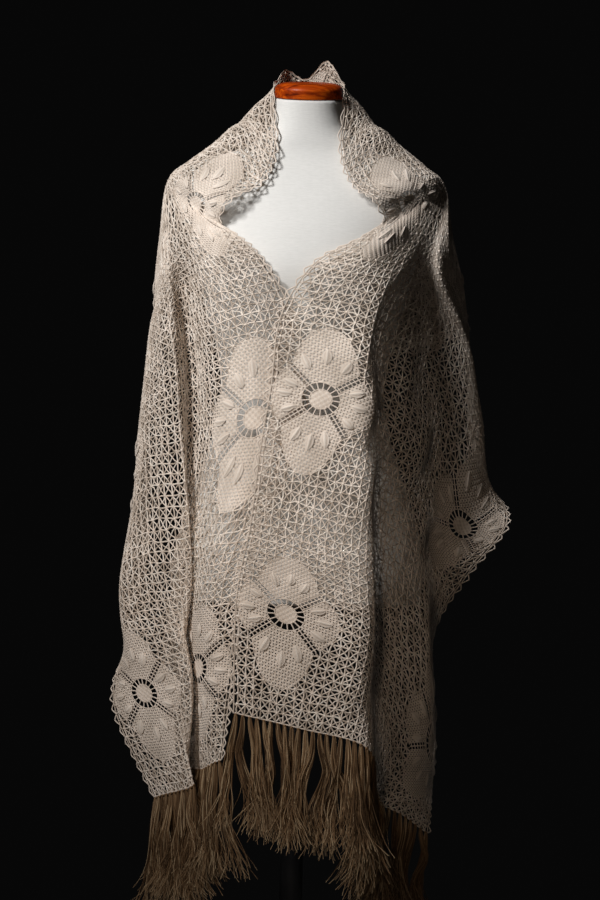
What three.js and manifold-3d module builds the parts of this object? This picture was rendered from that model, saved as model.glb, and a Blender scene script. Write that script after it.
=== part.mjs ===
import * as THREE from 'three';
import ManifoldModule from 'manifold-3d';

const wasm = await ManifoldModule();
wasm.setup();

// Lace shawl round the shoulders of a limbless dress form on a stand. Millimetres, +Z up, floor at 0,
// front of the form towards -Y, the viewer's left at -X.

// The shawl laid flat
const LENGTH = 2140;
const WIDTH = 420;
const WALL = 1.6;
const SEAM = 0.3;
const CLOTH_SEAM = 2;
const FRINGE_SEAM = 0.5;
const PICOT_PITCH = 17;
const PICOT_DEPTH = 6.5;

// Flowers worked in the ground, in two rows along the length
const FLOWER_PITCH = 310;
const FLOWER_FROM_EDGE = 60;
const RING_GAPS = 10;
const RING_INNER = 13;
const RING_OUTER = 22.5;
const GAP_SHARE = 0.62;

// Fringe at both ends
const FRINGE_LENGTH = 172;
const FRINGE_LOCKS = 42;
const FRINGE_BAND = 5;
const LOCK_HALF = 2.2;
const LOCK_SHARE = 0.5;

// Soft folds that hang down the back
const BACK_FOLD_DEPTH = 9;
const BACK_FOLD_PITCH = 150;
const BACK_FOLD_REACH = 230;
const BACK_FOLD_FROM = 130;

// Dress form and stand
const CLOTH_CLEARANCE = 3.2;
const FORM_SQUARENESS = 2.25;
const NECK_TILT = 0.25;
const NECK_BASE_Z = 1412;
const NECK_TOP_Z = 1478;
const CAP_RADIUS = 48;
const CAP_HEIGHT = 21;
const POLE_RADIUS = 16;
const BASE_RADIUS = 175;
const BASE_HEIGHT = 14;

// Form: height, half width, reach to the front, reach to the back
const FORM = [
  { z: 776, half: 168, front: 108, back: 112 },
  { z: 800, half: 174, front: 111, back: 118 },
  { z: 850, half: 171, front: 110, back: 116 },
  { z: 920, half: 152, front: 103, back: 104 },
  { z: 1000, half: 125, front: 93, back: 86 },
  { z: 1062, half: 114, front: 88, back: 78 },
  { z: 1120, half: 120, front: 96, back: 84 },
  { z: 1185, half: 139, front: 114, back: 94 },
  { z: 1225, half: 149, front: 121, back: 99 },
  { z: 1275, half: 162, front: 111, back: 102 },
  { z: 1320, half: 174, front: 92, back: 98 },
  { z: 1350, half: 183, front: 76, back: 90 },
  { z: 1368, half: 178, front: 66, back: 82 },
  { z: 1384, half: 150, front: 58, back: 74 },
  { z: 1398, half: 112, front: 53, back: 66 },
  { z: NECK_BASE_Z, half: 80, front: 51, back: 58 },
  { z: 1432, half: 58, front: 49, back: 51 },
  { z: 1455, half: 49, front: 48, back: 46 },
  { z: NECK_TOP_Z, half: 46, front: 48, back: 44 },
];

// Shawl over back and shoulders, right half: rows along the length from the centre of the back
const SHOULDER = [
  { along: 0, edge: [0, 58, 1519], nape: [0, 64, 1440], yoke: [0, 92, 1350],
    blade: [0, 116, 1272], rear: [0, 132, 1190], hem: [0, 138, 1108] },
  { along: 105, edge: [49, -6, 1484], nape: [80, 22, 1466], yoke: [106, 64, 1396],
    blade: [112, 96, 1300], rear: [120, 112, 1214], hem: [122, 118, 1132] },
  { along: 160, edge: [44, -58, 1402], nape: [105, -6, 1436], yoke: [138, 52, 1382],
    blade: [150, 90, 1290], rear: [155, 105, 1210], hem: [158, 110, 1137] },
  { along: 225, edge: [62, -86, 1348], nape: [149, -5, 1399], yoke: [178, 45, 1344],
    blade: [187, 75, 1272], rear: [189, 86, 1198], hem: [190, 88, 1138] },
];

// Standing collar behind the neck: a bump on the left, a pinched peak on the right
const COLLAR = [
  { along: -72, edge: [-39, 34, 1521], nape: [-54, 48, 1443], yoke: [-70, 82, 1364],
    blade: [-78, 108, 1282], rear: [-83, 122, 1201], hem: [-85, 126, 1122] },
  { along: 34, edge: [22, 53, 1542], nape: [28, 61, 1440], yoke: [34, 90, 1352],
    blade: [38, 114, 1274], rear: [40, 129, 1193], hem: [41, 134, 1112] },
  { along: 58, edge: [32, 43, 1535], nape: [45, 56, 1436], yoke: [56, 88, 1354],
    blade: [64, 112, 1276], rear: [68, 125, 1196], hem: [70, 128, 1118] },
];

// Right front, outermost layer: inner edge to outer edge, lapel and tuck first, fringed end last
const RIGHT_FRONT = [
  { along: 290, edge: [95, -102, 1320], flower: [130, -75, 1338], brow: [168, -38, 1356],
    shoulder: [192, 0, 1364], upper: [205, -10, 1288], arm: [223, 10, 1222], hem: [235, 66, 1170] },
  { along: 318, edge: [106, -94, 1299], flower: [134, -68, 1318], brow: [171, -36, 1340],
    shoulder: [193, -6, 1350], upper: [198, -34, 1278], arm: [217, -4, 1213], hem: [237, 54, 1150] },
  { along: 350, edge: [82, -112, 1278], flower: [118, -99, 1287], fold: [150, -71, 1298],
    pleat: [179, -43, 1297], upper: [187, -51, 1257], arm: [213, -12, 1198], hem: [238, 46, 1124] },
  { along: 430, edge: [10, -128, 1234], flower: [70, -136, 1226], fold: [122, -108, 1222],
    step: [134, -91, 1220], pleat: [160, -62, 1214], recess: [172, -48, 1202], arm: [239, 2, 1112],
    hem: [240, 66, 1014] },
  { along: 485, edge: [-23, -136, 1186], flower: [45, -144, 1180], fold: [93, -144, 1168],
    step: [102, -114, 1160], pleat: [158, -64, 1140], recess: [168, -42, 1126], arm: [252, 20, 1044],
    hem: [260, 76, 963] },
  { along: 620, edge: [-44, -150, 1063], flower: [21, -156, 1054], fold: [91, -159, 1036],
    step: [101, -122, 1024], pleat: [166, -66, 984], recess: [176, -32, 962], arm: [233, 2, 880],
    hem: [292, 20, 884] },
  { along: 700, edge: [-55, -154, 985], flower: [12, -160, 972], fold: [92, -161, 952],
    step: [102, -118, 936], pleat: [170, -62, 884], recess: [180, -30, 862], arm: [212, -8, 826],
    hem: [240, 4, 818] },
  { along: 780, edge: [-64, -159, 898], flower: [2, -164, 885], fold: [93, -163, 862],
    step: [104, -114, 842], pleat: [176, -58, 790], recess: [186, -30, 772], arm: [192, -8, 760],
    hem: [198, 16, 746] },
  { along: 930, edge: [-82, -163, 788], flower: [-34, -167, 776], fold: [95, -166, 735],
    step: [107, -104, 692], pleat: [182, -54, 605], recess: [189, -40, 586], arm: [196, -16, 562],
    hem: [197, 16, 546] },
  { along: 1070, edge: [-82, -165, 640], flower: [6, -169, 622], fold: [97, -166, 597],
    step: [111, -92, 516], pleat: [146, -76, 496], recess: [160, -70, 486], arm: [172, -65, 476],
    hem: [186, -60, 466] },
];

// Left front, under the right one where they cross, with a pleat that deepens to the end
const LEFT_FRONT = [
  { along: 290, edge: [-108, -107, 1314], flower: [-140, -76, 1328], brow: [-172, -40, 1350],
    shoulder: [-193, 0, 1363], upper: [-205, 16, 1285], arm: [-212, 32, 1206], hem: [-206, 74, 1136] },
  { along: 318, edge: [-118, -95, 1292], flower: [-145, -67, 1308], brow: [-174, -37, 1332],
    shoulder: [-195, -4, 1348], upper: [-205, -2, 1270], arm: [-211, 12, 1194], hem: [-211, 60, 1122] },
  { along: 350, edge: [-98, -112, 1276], flower: [-126, -101, 1282], side: [-154, -72, 1292],
    tuck: [-181, -43, 1295], fold: [-197, -34, 1256], arm: [-205, -14, 1200], hem: [-214, 46, 1106] },
  { along: 430, edge: [-54, -126, 1235], flower: [-100, -126, 1226], side: [-138, -92, 1220],
    tuck: [-163, -46, 1212], turn: [-173, -40, 1209], fold: [-181, -56, 1200], arm: [-212, -24, 1156],
    hem: [-217, 42, 1044] },
  { along: 485, edge: [-23, -131, 1186], flower: [-80, -136, 1172], side: [-133, -98, 1158],
    tuck: [-159, -40, 1150], turn: [-169, -34, 1146], fold: [-176, -58, 1142], arm: [-218, -12, 1098],
    hem: [-218, 52, 986] },
  { along: 620, edge: [3, -134, 1033], flower: [-57, -139, 1028], side: [-112, -112, 1020],
    tuck: [-149, -42, 1008], turn: [-160, -35, 1006], fold: [-159, -64, 1000], arm: [-228, 0, 976],
    hem: [-217, 62, 874] },
  { along: 780, edge: [-62, -134, 838], flower: [-97, -132, 830], side: [-121, -116, 824],
    tuck: [-162, -22, 813], turn: [-174, -22, 811], fold: [-144, -84, 806], cuff: [-206, -42, 792],
    arm: [-250, 0, 776], hem: [-226, 50, 742] },
  { along: 930, edge: [-82, -134, 692], flower: [-112, -122, 692], side: [-134, -90, 688],
    tuck: [-172, 8, 680], turn: [-186, 4, 679], fold: [-136, -101, 672], cuff: [-186, -62, 652],
    arm: [-234, -18, 640], hem: [-256, 4, 630] },
  { along: 1070, edge: [-96, -133, 573], flower: [-111, -114, 564], side: [-123, -86, 552],
    tuck: [-156, 10, 537], turn: [-170, 7, 535], fold: [-134, -107, 533], cuff: [-163, -76, 518],
    arm: [-180, -56, 510], hem: [-192, -40, 503] },
];

// Stretches of the shawl: where each starts and ends along the length, and its cells
const STRETCHES = [
  { node: 'shawl_left_front', from: -1070, to: -465, along: 11 },
  { node: 'shawl_left_lapel', from: -465, to: -155, along: 10 },
  { node: 'shawl_back', from: -155, to: 155, along: 9 },
  { node: 'shawl_right_lapel', from: 155, to: 465, along: 10 },
  { node: 'shawl_right_front', from: 465, to: 1070, along: 11 },
];

const RIBS = 24;
const CELLS_ACROSS = 20;
const LINEN = new THREE.MeshStandardMaterial({ color: 0xbfb3a2, roughness: 0.9 });
const FRINGE = new THREE.MeshStandardMaterial({ color: 0x9a8669, roughness: 0.9 });
const COVER = new THREE.MeshStandardMaterial({ color: 0xe4e0d8, roughness: 0.85 });
const WOOD = new THREE.MeshStandardMaterial({ color: 0xa8622b, roughness: 0.35 });
const STEEL = new THREE.MeshStandardMaterial({ color: 0x1c1c1d, roughness: 0.5 });

// Smooth curve through vectors of numbers at given knots, past either end along the end's slope
function through(values, knots, at) {
  const last = knots.length - 1;
  const slope = (i) => values[i].map((a, k) => (values[i + 1][k] - a) / (knots[i + 1] - knots[i]));
  if (at > knots[last]) {
    const end = slope(last - 1);
    return values[last].map((a, k) => a + end[k] * (at - knots[last]));
  }
  if (at < knots[0]) {
    const start = slope(0);
    return values[0].map((a, k) => a + start[k] * (at - knots[0]));
  }
  let i = 0;
  while (i < last - 1 && at >= knots[i + 1]) i += 1;
  const tangent = (j) => {
    if (j === 0) return slope(0);
    if (j === last) return slope(last - 1);
    const before = knots[j] - knots[j - 1];
    const after = knots[j + 1] - knots[j];
    const a = slope(j - 1);
    const b = slope(j);
    return a.map((s, k) => (after * s + before * b[k]) / (before + after));
  };
  const h = knots[i + 1] - knots[i];
  const s = (at - knots[i]) / h;
  const m0 = tangent(i);
  const m1 = tangent(i + 1);
  const s2 = s * s;
  const s3 = s2 * s;
  return values[i].map((a, k) => (2 * s3 - 3 * s2 + 1) * a + (s3 - 2 * s2 + s) * h * m0[k]
    + (3 * s2 - 2 * s3) * values[i + 1][k] + (s3 - s2) * h * m1[k]);
}

// Section of the shawl as evenly spaced points from the inner edge to the outer edge
function section(row, mirror) {
  const points = Object.keys(row).filter((k) => k !== 'along').map((k) => row[k])
    .map((p) => [p[0] * mirror, p[1], p[2]]);
  const knots = [0];
  for (let i = 1; i < points.length; i += 1) {
    const [a, b] = [points[i - 1], points[i]];
    knots.push(knots[i - 1] + Math.sqrt(Math.hypot(b[0] - a[0], b[1] - a[1], b[2] - a[2])));
  }
  const fine = [];
  const run = [0];
  for (let i = 0; i <= 240; i += 1) {
    fine.push(through(points, knots, (knots[knots.length - 1] * i) / 240));
    if (i > 0) {
      const [a, b] = [fine[i - 1], fine[i]];
      run.push(run[i - 1] + Math.hypot(b[0] - a[0], b[1] - a[1], b[2] - a[2]));
    }
  }
  const ribs = [];
  let i = 0;
  for (let k = 0; k <= RIBS; k += 1) {
    const want = (run[240] * k) / RIBS;
    while (i < 239 && run[i + 1] < want) i += 1;
    const t = (want - run[i]) / (run[i + 1] - run[i]);
    for (let c = 0; c < 3; c += 1) ribs.push(fine[i][c] + t * (fine[i + 1][c] - fine[i][c]));
  }
  return ribs;
}

const rows = [
  ...LEFT_FRONT.map((r) => ({ at: -r.along, ribs: section(r, 1) })),
  ...SHOULDER.slice(1).map((r) => ({ at: -r.along, ribs: section(r, -1) })),
  ...[...SHOULDER, ...COLLAR, ...RIGHT_FRONT].map((r) => ({ at: r.along, ribs: section(r, 1) })),
].sort((a, b) => a.at - b.at);
const ROW_AT = rows.map((r) => r.at);
const ROW_RIBS = rows.map((r) => r.ribs);
const RIB_AT = Array.from({ length: RIBS + 1 }, (_, k) => (WIDTH * k) / RIBS);
const ribCache = new Map();

const FORM_Z = FORM.map((r) => r.z);
const FORM_SIZES = FORM.map((r) => [r.half, r.front, r.back]);

// How far out a point lies as a share of the form's own reach in its direction
function formLevel(x, y, z) {
  const [half, front, back] = through(FORM_SIZES, FORM_Z, Math.min(Math.max(z, FORM_Z[0]), NECK_TOP_Z));
  const reach = y < 0 ? front : back;
  const n = FORM_SQUARENESS;
  return ((Math.abs(x) / half) ** n + (Math.abs(y) / reach) ** n) ** (1 / n);
}

// Point moved straight out of the form until it stands clear of the cover
function clearOfForm(p, clearance) {
  if (p.z < FORM_Z[0] - 10 || p.z > NECK_TOP_Z + CAP_HEIGHT + 6) return p;
  const q = p.clone();
  for (let i = 0; i < 4; i += 1) {
    const level = formLevel(q.x, q.y, q.z);
    const slope = new THREE.Vector3(
      formLevel(q.x + 0.5, q.y, q.z) - formLevel(q.x - 0.5, q.y, q.z),
      formLevel(q.x, q.y + 0.5, q.z) - formLevel(q.x, q.y - 0.5, q.z),
      formLevel(q.x, q.y, q.z + 0.5) - formLevel(q.x, q.y, q.z - 0.5));
    const steep = slope.length();
    const short = clearance - (level - 1) / steep;
    if (short <= 0) return q;
    q.addScaledVector(slope, short / steep);
  }
  return q;
}

// Middle of the cloth at a place along and across the shawl
function cloth(along, across) {
  if (!ribCache.has(along)) {
    const flat = through(ROW_RIBS, ROW_AT, along);
    const ribs = [];
    for (let k = 0; k <= RIBS; k += 1) ribs.push(flat.slice(3 * k, 3 * k + 3));
    ribCache.set(along, ribs);
  }
  const p = new THREE.Vector3(...through(ribCache.get(along), RIB_AT, across));
  if (Math.abs(along) < BACK_FOLD_REACH && across > BACK_FOLD_FROM) {
    const sideways = Math.cos((Math.PI * along) / (2 * BACK_FOLD_REACH)) ** 2;
    const down = (across - BACK_FOLD_FROM) / (WIDTH - BACK_FOLD_FROM);
    p.y += BACK_FOLD_DEPTH * Math.cos((2 * Math.PI * along) / BACK_FOLD_PITCH) * sideways * down;
  }
  return clearOfForm(p, CLOTH_CLEARANCE + WALL / 2);
}

// Outward direction of the cloth
function outward(along, across) {
  const step = 3;
  const du = cloth(along + step, across).sub(cloth(along - step, across));
  const dv = cloth(along, across + step).sub(cloth(along, across - step));
  return du.cross(dv).normalize();
}

function solidOf(points, faces) {
  const vertProperties = new Float32Array(points.flatMap((p) => [p.x, p.y, p.z]));
  const mesh = new wasm.Mesh({ numProp: 3, vertProperties, triVerts: new Uint32Array(faces.flat()) });
  mesh.merge();
  return new wasm.Manifold(mesh);
}

function meshOf(name, solid, material) {
  const { vertProperties, triVerts } = solid.getMesh();
  const geometry = new THREE.BufferGeometry();
  geometry.setAttribute('position', new THREE.Float32BufferAttribute(vertProperties, 3));
  geometry.setIndex(new THREE.Uint32BufferAttribute(triVerts, 1));
  geometry.computeVertexNormals();
  const mesh = new THREE.Mesh(geometry, material);
  mesh.name = name;
  return mesh;
}

// Sheet of places on the cloth given the wall's thickness: upper face, lower face and rim
function wallFrom(places, faces, rim) {
  const outer = [];
  const inner = [];
  for (const { along, across } of places) {
    const p = cloth(along, across);
    const n = outward(along, across).multiplyScalar(WALL / 2);
    outer.push(p.clone().add(n));
    inner.push(p.clone().sub(n));
  }
  const shift = places.length;
  const all = faces.map((f) => [...f]);
  for (const [a, b, c] of faces) all.push([a + shift, c + shift, b + shift]);
  for (let i = 0; i < rim.length; i += 1) {
    const a = rim[i];
    const b = rim[(i + 1) % rim.length];
    all.push([a, a + shift, b + shift], [a, b + shift, b]);
  }
  return solidOf([...outer, ...inner], all);
}

// Stretch of lace with a row of picots along both long edges
function stretch({ from, to, along }) {
  const across = CELLS_ACROSS;
  const places = [];
  const faces = [];
  const start = from + CLOTH_SEAM / 2;
  const length = to - from - CLOTH_SEAM;
  const id = (i, j) => i * (across + 1) + j;
  for (let i = 0; i <= along; i += 1) {
    for (let j = 0; j <= across; j += 1) {
      places.push({ along: start + (length * i) / along, across: (WIDTH * j) / across });
    }
  }
  for (let i = 0; i < along; i += 1) {
    for (let j = 1; j < across - 1; j += 1) {
      faces.push([id(i, j), id(i + 1, j), id(i + 1, j + 1)], [id(i, j), id(i + 1, j + 1), id(i, j + 1)]);
    }
  }
  const teeth = Math.max(2, Math.round(length / along / PICOT_PITCH));
  const edgeRow = (j, inside, turn) => {
    const line = [];
    const v = (WIDTH * j) / across;
    const tip = j === 0 ? v - PICOT_DEPTH : v + PICOT_DEPTH;
    const put = (u, w) => places.push({ along: u, across: w }) - 1;
    const add = (a, b, c) => faces.push(turn ? [a, c, b] : [a, b, c]);
    for (let i = 0; i < along; i += 1) {
      const u = (k) => start + (length * (i + k / teeth)) / along;
      const feet = [id(i, j)];
      for (let k = 1; k < teeth; k += 1) feet.push(put(u(k), v));
      feet.push(id(i + 1, j));
      const half = Math.floor(teeth / 2);
      for (let k = 0; k < teeth; k += 1) {
        const point = put(u(k + 0.5), tip);
        add(feet[k], point, feet[k + 1]);
        add(feet[k], feet[k + 1], k < half ? id(i, inside) : id(i + 1, inside));
        line.push(feet[k], point);
      }
      add(id(i, inside), feet[half], id(i + 1, inside));
    }
    line.push(id(along, j));
    return line;
  };
  const innerLine = edgeRow(0, 1, false);
  const outerLine = edgeRow(across, across - 1, true);
  const endLine = Array.from({ length: across - 1 }, (_, j) => id(along, j + 1));
  const startLine = Array.from({ length: across - 1 }, (_, j) => id(0, across - 1 - j));
  const rim = [...innerLine, ...endLine, ...outerLine.reverse(), ...startLine];
  return wallFrom(places, faces, rim);
}

// Openings of the ring round a flower's heart, as pegs through the wall
function ringPegs(alongAt, acrossAt) {
  const pegs = [];
  for (let k = 0; k < RING_GAPS; k += 1) {
    const middle = (2 * Math.PI * (k + 0.5)) / RING_GAPS;
    const spread = (Math.PI * GAP_SHARE) / RING_GAPS;
    const at = (r, a) => ({ along: alongAt + r * Math.cos(a), across: acrossAt + r * Math.sin(a) });
    const corners = [at(RING_INNER, middle), at(RING_OUTER, middle - spread),
      at(RING_OUTER, middle + spread)];
    const heart = at((RING_INNER + 2 * RING_OUTER) / 3, middle);
    const n = outward(heart.along, heart.across).multiplyScalar(5);
    const points = corners.map((c) => cloth(c.along, c.across));
    const top = points.map((p) => p.clone().add(n));
    const bottom = points.map((p) => p.clone().sub(n));
    pegs.push(solidOf([...top, ...bottom], [[0, 1, 2], [3, 5, 4],
      [0, 3, 4], [0, 4, 1], [1, 4, 5], [1, 5, 2], [2, 5, 3], [2, 3, 0]]));
  }
  return pegs;
}

// Narrow band beyond the end of the cloth, drawn out into hanging locks along its lower rim
function fringe(end) {
  const near = end * (LENGTH / 2 + FRINGE_SEAM);
  const far = end * (LENGTH / 2 + FRINGE_SEAM + FRINGE_BAND);
  const pitch = WIDTH / FRINGE_LOCKS;
  const stops = [0];
  for (let i = 0; i < FRINGE_LOCKS; i += 1) {
    stops.push(pitch * (i + 0.5 - LOCK_SHARE / 2), pitch * (i + 0.5 + LOCK_SHARE / 2));
  }
  stops.push(WIDTH);
  const points = [];
  for (const across of stops) {
    for (const along of [near, far]) {
      const p = cloth(along, across);
      const n = outward(along, across).multiplyScalar(WALL / 2);
      points.push(p.clone().add(n), p.clone().sub(n));
    }
  }
  const faces = [];
  const quad = (a, b, c, d) => faces.push([a, b, c], [a, c, d]);
  const corner = (k) => ({ on: 4 * k, in: 4 * k + 1, onFar: 4 * k + 2, inFar: 4 * k + 3 });
  for (let k = 0; k < stops.length - 1; k += 1) {
    const a = corner(k);
    const b = corner(k + 1);
    quad(a.on, a.onFar, b.onFar, b.on);
    quad(a.in, b.in, b.inFar, a.inFar);
    quad(a.on, b.on, b.in, a.in);
    const root = [a.onFar, a.inFar, b.inFar, b.onFar];
    if (k % 2 === 0) {
      quad(...root);
      continue;
    }
    const lock = (k - 1) / 2;
    const drop = FRINGE_LENGTH * (0.93 + 0.07 * Math.sin(lock * 3.1));
    const middle = new THREE.Vector3();
    for (const r of root) middle.addScaledVector(points[r], 0.25);
    const sway = new THREE.Vector3(4 * Math.sin(lock * 0.8), 3 * Math.sin(lock * 0.5 + 1), 0);
    const level = (to, from) => points[to].clone().sub(points[from]).setZ(0).normalize();
    const wide = level(b.onFar, a.onFar).multiplyScalar(LOCK_HALF);
    const deep = level(a.onFar, a.inFar).multiplyScalar(LOCK_HALF * 0.8);
    const belly = middle.clone().addScaledVector(sway, 0.5);
    belly.z -= drop * 0.4;
    const ring = [[-1, 1], [-1, -1], [1, -1], [1, 1]]
      .map(([w, d]) => points.push(belly.clone().addScaledVector(wide, w).addScaledVector(deep, d)) - 1);
    const tip = points.push(middle.clone().add(sway).setZ(middle.z - drop)) - 1;
    for (let i = 0; i < 4; i += 1) {
      const j = (i + 1) % 4;
      quad(root[i], root[j], ring[j], ring[i]);
      faces.push([ring[i], ring[j], tip]);
    }
  }
  const first = corner(0);
  const last = corner(stops.length - 1);
  quad(first.on, first.in, first.inFar, first.onFar);
  quad(last.on, last.onFar, last.inFar, last.in);
  return solidOf(points, end > 0 ? faces : faces.map(([a, b, c]) => [a, c, b]));
}

// Torso lofted through the form's rows, its neck cut on the slant
function torso() {
  const around = 32;
  const levels = [];
  for (let i = 0; i < FORM.length - 1; i += 1) {
    const parts = FORM[i + 1].z - FORM[i].z > 60 ? 2 : 1;
    for (let k = 0; k < parts; k += 1) {
      levels.push(FORM[i].z + ((FORM[i + 1].z - FORM[i].z) * k) / parts);
    }
  }
  levels.push(NECK_TOP_Z);
  const points = [];
  for (const z of levels) {
    const [half, front, back] = through(FORM_SIZES, FORM_Z, z);
    const tilt = NECK_TILT * Math.max(0, (z - NECK_BASE_Z) / (NECK_TOP_Z - NECK_BASE_Z));
    for (let k = 0; k < around; k += 1) {
      const a = (2 * Math.PI * k) / around;
      const c = Math.cos(a);
      const s = Math.sin(a);
      const reach = s < 0 ? front : back;
      const x = Math.sign(c) * half * Math.abs(c) ** (2 / FORM_SQUARENESS);
      const y = Math.sign(s) * reach * Math.abs(s) ** (2 / FORM_SQUARENESS);
      points.push(new THREE.Vector3(x, y, z + tilt * y));
    }
  }
  const faces = [];
  for (let r = 0; r < levels.length - 1; r += 1) {
    for (let k = 0; k < around; k += 1) {
      const a = r * around + k;
      const b = r * around + ((k + 1) % around);
      faces.push([a, b, b + around], [a, b + around, a + around]);
    }
  }
  const bottom = points.push(new THREE.Vector3(0, 0, levels[0])) - 1;
  const top = points.push(new THREE.Vector3(0, 0, NECK_TOP_Z)) - 1;
  const upper = (levels.length - 1) * around;
  for (let k = 0; k < around; k += 1) {
    const next = (k + 1) % around;
    faces.push([bottom, next, k], [top, upper + k, upper + next]);
  }
  return solidOf(points, faces);
}

function turned(name, profile, material, sides) {
  const points = profile.map(([r, z]) => new THREE.Vector2(r, z));
  const geometry = new THREE.LatheGeometry(points, sides);
  geometry.rotateX(Math.PI / 2);
  const mesh = new THREE.Mesh(geometry, material);
  mesh.name = name;
  return mesh;
}

const part = new THREE.Group();
part.name = 'lace_shawl_on_dress_form';

for (const row of STRETCHES) {
  const pegs = [];
  for (let k = -3; k <= 3; k += 1) {
    const at = k * FLOWER_PITCH;
    if (at < row.from || at > row.to) continue;
    pegs.push(...ringPegs(at, FLOWER_FROM_EDGE), ...ringPegs(at, WIDTH - FLOWER_FROM_EDGE));
  }
  part.add(meshOf(row.node, stretch(row).subtract(wasm.Manifold.union(pegs)), LINEN));
}
part.add(meshOf('fringe_left', fringe(-1), FRINGE));
part.add(meshOf('fringe_right', fringe(1), FRINGE));
part.add(meshOf('form_torso', torso(), COVER));

const cap = turned('neck_cap', [[0, 0], [CAP_RADIUS - 2, 0], [CAP_RADIUS, 2], [CAP_RADIUS, 11],
  [CAP_RADIUS - 5, 17], [CAP_RADIUS - 18, CAP_HEIGHT], [0, CAP_HEIGHT]], WOOD, 34);
cap.position.set(0, -2, NECK_TOP_Z + SEAM);
cap.rotation.x = Math.atan(NECK_TILT);
part.add(cap);

part.add(turned('stand_pole', [[0, BASE_HEIGHT + SEAM], [POLE_RADIUS, BASE_HEIGHT + SEAM],
  [POLE_RADIUS, FORM_Z[0] - SEAM], [0, FORM_Z[0] - SEAM]], STEEL, 20));
part.add(turned('stand_base', [[0, 0], [BASE_RADIUS, 0], [BASE_RADIUS, BASE_HEIGHT - 5],
  [BASE_RADIUS - 8, BASE_HEIGHT], [0, BASE_HEIGHT]], STEEL, 40));

export default part;
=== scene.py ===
"""Lace shawl with a fringe on a limbless dress form: the looks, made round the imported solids."""
import math

import bpy
import numpy as np
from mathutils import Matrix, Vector


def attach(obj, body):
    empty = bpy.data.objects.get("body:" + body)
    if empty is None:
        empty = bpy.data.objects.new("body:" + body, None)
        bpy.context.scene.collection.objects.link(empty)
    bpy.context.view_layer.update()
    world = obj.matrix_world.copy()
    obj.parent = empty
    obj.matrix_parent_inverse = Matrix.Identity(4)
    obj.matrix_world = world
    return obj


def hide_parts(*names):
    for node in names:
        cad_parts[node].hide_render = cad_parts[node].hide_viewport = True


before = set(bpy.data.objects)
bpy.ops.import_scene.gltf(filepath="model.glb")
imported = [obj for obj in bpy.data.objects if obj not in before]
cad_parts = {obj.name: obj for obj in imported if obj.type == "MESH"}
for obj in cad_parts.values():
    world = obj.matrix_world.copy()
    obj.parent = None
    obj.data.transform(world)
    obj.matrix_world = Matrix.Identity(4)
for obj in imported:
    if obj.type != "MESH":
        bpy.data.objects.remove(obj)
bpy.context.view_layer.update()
METRE = 0.001  # sizes below are in millimetres, front of the form towards -Y

# The shawl laid flat
LENGTH = 2140
WIDTH = 420
WALL = 1.6
CLOTH_CLEARANCE = 3.2
RIBS = 24

# Ground of eight-legged stars
STAR_COLUMNS = 182
STAR_ROWS = 38
STAR_JITTER = 1.3
MIDDLE_JITTER = 0.9
EDGE_TO_STARS = 6
LEG_HALF = (1.08, 0.9)  # half width and height of a thread
DIAGONAL_HALF = (0.92, 0.8)
THREAD_BOW = 0.7
STAR_RADIUS = 2.7
STAR_HEIGHT = 0.8

# Flowers worked in the ground, in two rows along the length
FLOWER_PITCH = 310
FLOWER_FROM_EDGE = 60
FLOWER_LAST = 3
PETAL_ALONG = 98
PETAL_TO_EDGE = 56
PETAL_INWARD = 63
NOTCH = 57
PETAL_POINT = 1.9
PINHOLE_PITCH = 3.7
PINHOLE_HALF = 0.72
WEAVE_LIFT = 0.45
SEAM_HALF = 4.4
SEAM_RUNG_PITCH = 5.6
RIM_HALF = (0.65, 0.5)
RIB_HALF = (0.85, 0.7)
RUNG_HALF = (0.7, 0.55)
HEART_RADIUS = 13
RING_RADIUS = 22.5
RING_HALF = (0.8, 0.6)
RING_SPOKES = 17
SPOKE_HALF = (0.85, 0.6)
LEAF_LENGTH = 23
LEAF_WIDTH = 11
LEAF_HEIGHT = 1.3
LEAF_RIDGE = 0.4
LEAF_FOOT = 0.8
LEAF_ANGLE = math.radians(22)

# Picot edging along both long edges
PICOT_PITCH = 17
PICOT_DEPTH = 6.5
FOOT_AT = 1.6
FOOT_HALF = (0.95, 0.75)
PICOT_HALF = (1.0, 0.7)
ROLLED_REACH = 92  # behind the neck the inner edge is rolled in, so its picots hardly stand out
ROLLED_SHARE = 0.2

# Fringe at both ends
FRINGE_LENGTH = 172
FRINGE_LOCKS = 42
LOCK_STRANDS = 34
STRAND_STEPS = 19
STRAND_RADIUS = 0.55
LOCK_DRIFT = 13.0
LOCK_BEND = 5.5
LOCK_SPREAD = 9.0
STRAND_WAVE = 4.2
TIP_CURL = 13.0
ROOT_SPREAD = 1.6
FRINGE_DEPTH = 0.35  # swing to front and back as a share of the swing sideways
KNOT_RADIUS = 2.4
KNOT_HEIGHT = 1.6

# Soft folds that hang down the back
BACK_FOLD_DEPTH = 9
BACK_FOLD_PITCH = 150
BACK_FOLD_REACH = 230
BACK_FOLD_FROM = 130

# Dress form and stand
FORM_SQUARENESS = 2.25
NECK_TILT = 0.25
NECK_BASE_Z = 1412
NECK_TOP_Z = 1478
CAP_RADIUS = 48
CAP_HEIGHT = 21
CAP_EAVE = 1.6
CAP_ROUNDING = (18, 10)
CAP_CENTRE_Y = -2
POLE_RADIUS = 16
BASE_RADIUS = 175
BASE_HEIGHT = 14
SEAM = 0.3

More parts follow.
